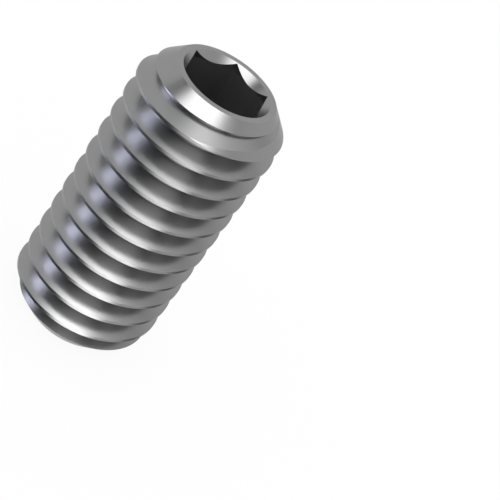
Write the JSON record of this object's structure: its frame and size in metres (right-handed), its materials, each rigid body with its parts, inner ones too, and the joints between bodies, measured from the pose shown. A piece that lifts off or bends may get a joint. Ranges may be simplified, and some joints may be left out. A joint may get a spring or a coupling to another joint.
{
  "type": "grub screw",
  "caption": "Headless set screw with a full-length coarse thread, a hexagon socket at one end and a dished cup point at the other, which bites on a shaft to lock a hub or collar.",
  "frame": {"origin": "centre of the cup rim's plane, where the screw stands on its cup point", "axes": "+Z along the screw's axis from the cup point to the socket; +X through two opposite corners of the hexagon socket"},
  "size_m": [0.0048, 0.0048, 0.01],
  "materials": {
    "steel": "fine turned stainless steel, satin"
  },
  "bodies": {
    "root": {"grub_screw": "steel"}
  },
  "joints": []
}
